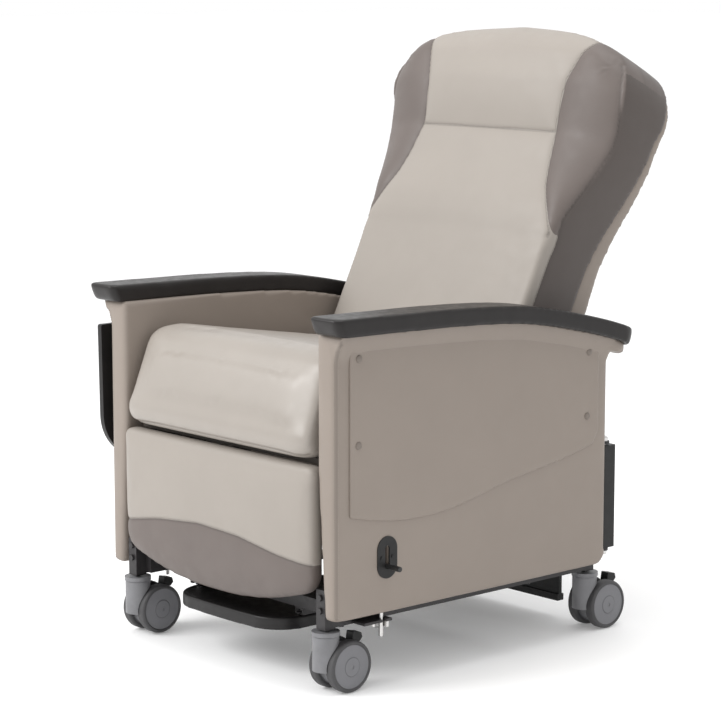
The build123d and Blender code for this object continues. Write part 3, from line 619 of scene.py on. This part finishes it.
def make_leg_pad():
    pad = remeshed("leg_rest_cushion", "leg_rest_pad", 5.5)
    co = get_co(pad)
    across = np.clip(np.abs(co[:, 0]) / LEG_HALF, 0, 1)
    up = np.clip((co[:, 2] - LEG_LOW) / (LEG_HIGH - LEG_LOW), 0, 1)
    front = 1 - step(co[:, 1], -9, 22)
    co[:, 1] -= front * 11.0 * (1 - across ** 3) * (1 - np.abs(2 * up - 1) ** 3)
    co = relax(co, edges_of(pad), 8)
    set_co(pad, co)
    swell(pad, 3.0, 3.0, still=step(np.abs(2 * up - 1), 0.75, 0.95))
    return pad


def finish_leg_pad(pad):
    tree = surface_of(pad)
    xs = np.linspace(-287, 287, 150)
    start = np.stack([xs, np.full_like(xs, -40.0), leg_seam_z(xs)], axis=1)
    seam = []
    for point in start:
        hit = tree.ray_cast(Vector(point), Vector((0, 1, 0)))[0]
        if hit is not None:
            seam.append(tuple(hit))
    seams = [dense(seam, 1.5)]
    gap = puff(pad, seams, 3.0, 16.0, 1.6, 3.0)
    co = get_co(pad)
    store(pad, "tone", leg_seam_z(co[:, 0]) - co[:, 2])
    store(pad, "band", np.full(len(co), NO_BAND))
    store(pad, "crease", gap)
    shade_smooth(pad)
    dress(pad, vinyl_two)
    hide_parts("leg_rest_cushion")
    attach(pad, "leg_rest")
    return seams


# ---------------------------------------------------------------- back cushion

# Up the back, by s: half widths of the whole back and of its light panel, then the depth t
# of the panel's seam and of the wing's outer edge
wing_half = curve_of(((-100, 269), (90, 269), (110, 270), (180, 278), (231, 293), (303, 312), (350, 326),
                      (386, 331), (457, 329), (500, 318), (525, 303), (551, 268)), 8.0)
panel_half = curve_of(((-120, 300), (110, 296), (137, 284), (166, 263), (211, 239), (250, 219),
                       (296, 207), (348, 198.5), (368, 194.5), (408, 197), (465, 202), (530, 224),
                       (557, 240), (610, 258)), 7.0)
seam_t = curve_of(((-120, 2), (60, 0), (137, -3), (166, -7), (211, -10), (250, -8), (296, -6), (345, -7),
                   (362, -6), (378, -11), (408, -20), (465, -35), (530, -38), (557, -26), (590, -20)), 8.0)
edge_t = curve_of(((-120, 0), (110, 0), (180, 6), (231, 13), (303, 23), (350, 26), (386, 19), (457, -7),
                   (500, -11), (535, -8), (566, -4), (600, 0)), 10.0)


def side_seam(s):
    """Depth t of the piped seam down each side; it runs further round the edge below the wing."""
    return edge_t(s) + 3.0 + 20.0 * (1 - step(s, 118, 200))


def back_front(x, s):
    """Depth t of the front surface."""
    a = np.abs(x)
    c = np.minimum(panel_half(s), wing_half(s) - 1.0)
    w = np.maximum(wing_half(s), c + 1.0)
    inside = np.clip(a / c, 0, 1)
    crown = 12.0 + 4.0 * step(s, 370, 440)
    centre = seam_t(s) - crown * (1 - inside ** 2.2)
    out = np.clip((a - c) / np.maximum(w - c, 8.0), 0, 1)
    wing = seam_t(s) + (edge_t(s) - seam_t(s)) * (0.55 * out + 0.45 * out ** 2)
    wing = wing - 7.0 * np.sin(out * math.pi) * step(w - c, 20, 70)
    return np.where(a <= c, centre, wing)


def make_back_pad():
    pad = remeshed("back_cushion", "back_pad", 4.5)
    x, s, t = design_to_back(get_co(pad))
    pairs = edges_of(pad)
    rear = step(t, 70, 86)
    co = back_to_design(x, s, t)
    co = relax(co, pairs, 4, keep=rear)
    x, s, t = design_to_back(co)
    share = 1 - step(t, -10, 66)
    t = t + (back_front(x, s) + 22.0) * share
    band = np.sin(np.clip((t - 5) / 125.0, 0, 1) * math.pi)
    crest = np.sin(np.clip(np.abs(x) / 264.0, 0, 1) * math.pi)
    s = s - 5.0 * step(s, 500, 590) * crest * (t < 100)
    wall = step(np.abs(x), wing_half(s) - 22, wing_half(s) - 4) * (s < 548)
    x = x + np.sign(x) * 3.0 * band * wall
    co = relax(back_to_design(x, s, t), pairs, 5, keep=rear)
    set_co(pad, co)
    return pad


def finish_back_pad(pad):
    """Seams: panel and side of the right wing, the same of the left, then the headrest's."""
    tree = surface_of(pad)
    seams = []
    for side in (-1, 1):
        s = np.arange(141, 562, 2.0)
        line = back_to_design(side * np.minimum(panel_half(s), wing_half(s) - 2), s, seam_t(s) - 3)
        t = np.arange(10, 137, 2.0)
        over = back_to_design(np.full_like(t, side * 241.0), np.full_like(t, 566.0), t)
        seams.append(on_surface(tree, np.vstack([line, over]))[0])
        s = np.arange(-110, 516, 2.0)
        seams.append(on_surface(tree, back_to_design(side * (wing_half(s) + 1), s, side_seam(s)))[0])
    xs = np.arange(-HEADREST_SEAM_HALF, HEADREST_SEAM_HALF + 1, 2.0)
    bow = HEADREST_SEAM_S + 2.5 * (xs / HEADREST_SEAM_HALF) ** 2
    seams.append(on_surface(tree, back_to_design(xs, bow, seam_t(bow) - 10))[0])
    gap = puff(pad, seams, 4.0, 13.0, 1.8, 3.2)
    co = get_co(pad)
    x, s, t = design_to_back(co)
    dx, ds = np.abs(x) - WING_CORNER[0], s - WING_CORNER[1]
    reach = np.hypot(dx, ds)
    turn = np.arctan2(ds, dx)
    creases = np.cos(7.0 * turn + 0.6 * np.sin(3 * turn)) * np.exp(-(reach / 25.0) ** 2)
    creases *= step(reach, 2, 12)
    creases *= step(-dx, -5, 5) * step(ds, -24, -6) * (t < 60)
    co = co + get_normals(pad) * (1.5 * creases)[:, None]
    set_co(pad, co)
    x, s, t = design_to_back(co)
    on_front = np.abs(x) - np.where(s > 400, np.minimum(panel_half(s), 252), panel_half(s))
    on_side = np.minimum(np.abs(x) - (wing_half(s) - 8), t - (side_seam(s) + 1.5))
    store(pad, "tone", np.maximum(on_front, on_side))
    # band carries painted shade: above 0 on the side walls below s 500, and above s 500 it rises towards 0
    # only deep in t, so that part darkens towards the rear
    store(pad, "band", np.where(s < 500, on_side, NO_BAND + 0.2 * np.minimum(t, 50)))
    store(pad, "crease", gap)
    shade_smooth(pad)
    dress(pad, vinyl_two)
    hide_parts("back_cushion")
    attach(pad, "back")
    return seams


def make_back_cover():
    cover = remeshed("back_shell", "back_cover", 5.5)
    co = relax(get_co(cover), edges_of(cover), 4)
    x, s, t = design_to_back(co)
    rear = step(t, 150, 175)
    across = np.clip(np.abs(x) / 300, 0, 1)
    t = t + 4.0 * (1 - across ** 2) * rear
    set_co(cover, back_to_design(x, s, t))
    store(cover, "crease", np.full(len(co), NO_CREASE))
    shade_smooth(cover)
    dress(cover, vinyl_light_painted_shade)
    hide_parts("back_shell")
    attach(cover, "back")


# ---------------------------------------------------------------- arms

# Height of the arm caps' top, front to rear
cap_top = curve_of(((-28, 719), (180, 715.5), (360, 709.5), (480, 699), (600, 676.5), (700, 652.5),
                    (787, 625)), 10.0)


def flare(under):
    """How far the arm's cover spreads outwards, under mm below the cap."""
    return ARM_FLARE * (1 - step(under, -6, 58)) ** 1.4


def make_arm(side, sign):
    arm = remeshed(f"{side}_arm", f"{side}_arm_pad", 5.0)
    co = get_co(arm)
    pairs = edges_of(arm)
    under = cap_top(co[:, 1]) - CAP_DEEP - co[:, 2]
    skin = step(np.abs(co[:, 0]), 341, 344) * (co[:, 1] < 734)
    flared = ARM_OUT + flare(under)
    co[:, 0] = np.sign(co[:, 0]) * (np.abs(co[:, 0]) * (1 - skin) + flared * skin)
    co = relax(co, pairs, 6, keep=1 - step(under, 1, 6))
    set_co(arm, co)
    tree = surface_of(arm)
    zs = np.arange(149, 676, 2.0)
    outer = ARM_OUT - 1.0 + flare(cap_top(0.0) - CAP_DEEP - zs)
    seam = np.stack([sign * outer, np.full_like(zs, 3.0), zs], axis=1)
    inner = np.stack([sign * np.interp(zs, (147, 420), (314, 296)), np.full_like(zs, 3.0), zs], axis=1)
    rear = np.stack([np.full_like(zs, sign * (ARM_OUT - 1.0)), np.full_like(zs, 729.0), zs], axis=1)[15:-55]
    seams = [on_surface(tree, line)[0] for line in (seam, inner, rear)]
    gap = puff(arm, [seams[0], seams[2]], 1.8, 16.0, 1.6, 3.0)
    co = get_co(arm)
    y, z = ARM_TOP_FRONT
    fold = (np.abs(co[:, 0]) - 352.0) - 0.55 * (co[:, 2] - z) - 0.25 * co[:, 1]
    near = np.exp(-((co[:, 1] - y) / 22.0) ** 2 - ((co[:, 2] - z) / 20.0) ** 2)
    near = near * (np.abs(co[:, 0]) > 335)
    co = co + get_normals(arm) * (2.2 * near * np.cos(fold / 3.4))[:, None]
    y, z = ARM_LOW_FRONT
    low = np.exp(-((co[:, 1] - y) / 12.0) ** 2 - ((co[:, 2] - z) / 9.0) ** 2)
    low = low * (np.abs(co[:, 0]) > 338)
    co = co + get_normals(arm) * (1.4 * low * np.cos(co[:, 2] / 1.9))[:, None]
    set_co(arm, co)
    store(arm, "crease", gap)
    shade_smooth(arm)
    dress(arm, vinyl_light_painted_shade)
    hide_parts(f"{side}_arm")
    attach(arm, f"{side}_arm")
    tree = surface_of(arm)
    lines = stitch_lines(tree, seams[0], aside=4.0 * sign)
    lines += stitch_lines(tree, seams[0], aside=-4.0 * sign)
    thread = tube_mesh(f"{side}_arm_stitches", lines, THREAD_RADIUS, THREAD_SIDES)
    dress(thread, thread_light)
    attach(thread, f"{side}_arm")


def make_cap(side):
    cap = remeshed(f"{side}_arm_cap", f"{side}_armrest", 3.2)
    co = get_co(cap)
    under = np.clip((cap_top(co[:, 1]) - co[:, 2]) / CAP_DEEP, 0, 1)
    co[:, 1] += 13.0 * under ** 1.4 * (1 - step(co[:, 1], -24, 16))
    co[:, 1] -= 12.0 * under ** 2 * step(co[:, 1], 740, 786)
    co = relax(co, edges_of(cap), 8)
    co = co + get_normals(cap) * 0.6
    set_co(cap, co)
    shade_smooth(cap)
    dress(cap, cap_black)
    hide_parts(f"{side}_arm_cap")
    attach(cap, f"{side}_arm")


def make_panel(side, sign):
    panel = remeshed(f"{side}_arm_panel", f"{side}_side_panel", 2.4)
    co = get_co(panel)
    co = relax(co, edges_of(panel), 6)
    out = step(np.abs(co[:, 0]), 346.5, 349)
    depth = 0.0
    for y, z in PANEL_BUTTONS:
        reach = np.hypot(co[:, 1] - y, co[:, 2] - z)
        depth = depth + 1.6 * np.exp(-((reach / 13.0) ** 2))
    co[:, 0] += sign * (1.2 - depth) * out
    set_co(panel, co)
    store(panel, "crease", np.full(len(co), NO_CREASE))
    shade_smooth(panel)
    dress(panel, vinyl_light_painted_shade)
    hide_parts(f"{side}_arm_panel")
    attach(panel, f"{side}_arm")


# ---------------------------------------------------------------- foot tray


def make_tray():
    tray = remeshed("foot_tray", "foot_tray_moulding", 2.6)
    co = relax(get_co(tray), edges_of(tray), 5)
    set_co(tray, co)
    shade_smooth(tray)
    dress(tray, tray_black)
    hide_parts("foot_tray")
    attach(tray, "foot_tray")


# ---------------------------------------------------------------- build

seat = make_seat()
finish_seat(seat)
leg = make_leg_pad()
leg_seams = finish_leg_pad(leg)
back = make_back_pad()
back_seams = finish_back_pad(back)
make_back_cover()
for side, sign in (("left", 1), ("right", -1)):
    make_arm(side, sign)
    make_cap(side)
    make_panel(side, sign)
make_tray()

leg_tree = surface_of(leg)
lines = stitch_lines(leg_tree, leg_seams[0], 2.6)
thread = tube_mesh("leg_rest_stitches", lines, THREAD_RADIUS, THREAD_SIDES)
dress(thread, thread_light)
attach(thread, "leg_rest")
back_tree = surface_of(back)
lines = stitch_lines(back_tree, back_seams[0], -3.0) + stitch_lines(back_tree, back_seams[2], 3.0)
lines += stitch_lines(back_tree, back_seams[4], 3.0)
thread = tube_mesh("back_stitches", lines, THREAD_RADIUS, THREAD_SIDES)
dress(thread, thread_light)
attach(thread, "back")

# CAD nodes that stay
keeps = {
    "cross_bars": charcoal, "frame_fasteners": charcoal, "latch_brackets": charcoal, "tray_rails": charcoal,
    "swing_link": charcoal, "fold_link": charcoal, "leg_rest_panel": charcoal, "drive_links": charcoal,
    "back_frame": charcoal, "back_levers": charcoal, "gas_spring_cylinder": charcoal, "table_hinge": charcoal,
    "pivot_pins": bright, "latch_keepers": bright, "gas_spring_rod": bright, "tray_runners": bright,
    "rear_skirt": black_plastic, "skirt_bar": black_plastic, "push_handle": black_plastic,
    "seat_deck": plywood, "side_table": tray_black,
}
for side in ("left", "right"):
    keeps[f"{side}_side_frame"] = charcoal
    keeps[f"{side}_panel_buttons"] = vinyl_light_painted_shade
    keeps[f"{side}_latch_plate"] = black_plastic
    keeps[f"{side}_latch_rod"] = rod_finish
    keeps[f"{side}_hinge_cover"] = black_plastic
    keeps[f"{side}_hinge_leaf"] = bright
for end, place in CASTER_Y.items():
    wheel = wheel_material(f"wheel_{end}", (place + WHEEL_TRAIL) / 1000 + FRONT)
    for side in ("left", "right"):
        keeps[f"{end}_{side}_caster_housing"] = grey_plastic
        keeps[f"{end}_{side}_inner_wheel"] = wheel
        keeps[f"{end}_{side}_outer_wheel"] = wheel
        keeps[f"{end}_{side}_brake_pedal"] = black_plastic
for node, material in keeps.items():
    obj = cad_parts[node]
    for index in range(len(obj.material_slots)):
        obj.material_slots[index].material = material

# ---------------------------------------------------------------- stage


def make_floor():
    mesh = bpy.data.meshes.new("floor")
    bm = bmesh.new()
    bmesh.ops.create_grid(bm, x_segments=2, y_segments=2, size=60.0)
    bm.to_mesh(mesh)
    bm.free()
    floor = new_object("floor", mesh)
    floor.location = (0, 0, -0.0005)
    n = Nodes("floor")
    cloud = n.noise(0.6, 2.0)
    base = n.mix(cloud, (0.85, 0.85, 0.85), (0.87, 0.87, 0.87))
    # The floor glows a little (emission 0.16): painted light that lightens the chair's shadows on it
    n.shader.inputs["Emission Color"].default_value = (1.0, 1.0, 1.0, 1.0)
    floor.data.materials.append(n.finish(base, 0.6, Specular_IOR_Level=0.2, Emission_Strength=0.16))


def area_light(name, place, target, size, power):
    data = bpy.data.lights.new(name, "AREA")
    data.shape = "RECTANGLE"
    data.size, data.size_y = size
    data.energy = power
    obj = bpy.data.objects.new(name, data)
    bpy.context.scene.collection.objects.link(obj)
    obj.location = place
    way = Vector(target) - Vector(place)
    obj.rotation_mode = "QUATERNION"
    obj.rotation_quaternion = way.to_track_quat("-Z", "Y")


make_floor()
world = bpy.data.worlds.new("studio")
world.use_nodes = True
world.node_tree.nodes["Background"].inputs[0].default_value = (1.0, 1.0, 1.0, 1.0)
world.node_tree.nodes["Background"].inputs[1].default_value = 1.0
bpy.context.scene.world = world
bpy.context.scene.view_settings.view_transform = "Standard"

area_light("key", (-1.6, -3.6, 3.2), (0, 0, 0.6), (2.6, 2.2), 150.0)
area_light("top", (0.3, 0.2, 4.2), (0, 0, 0.5), (2.6, 2.6), 60.0)

# ---------------------------------------------------------------- camera

# The photograph's viewing angle
AZIMUTH = math.radians(48.1)
ELEVATION = math.radians(8.76)
camera_data = bpy.data.cameras.new("camera")
camera_data.sensor_width = 36.0
camera_data.lens = 125.46
camera_data.shift_x = -0.002
camera_data.shift_y = -0.003
camera = bpy.data.objects.new("camera", camera_data)
bpy.context.scene.collection.objects.link(camera)
camera.location = (3.7399, -2.9804 + FRONT, 1.3402)
level = math.cos(ELEVATION)
away = Vector((math.sin(AZIMUTH) * level, -math.cos(AZIMUTH) * level, math.sin(ELEVATION)))
camera.rotation_mode = "QUATERNION"
camera.rotation_quaternion = (-away).to_track_quat("-Z", "Y")
camera_data.clip_start, camera_data.clip_end = 0.1, 200.0
bpy.context.scene.camera = camera
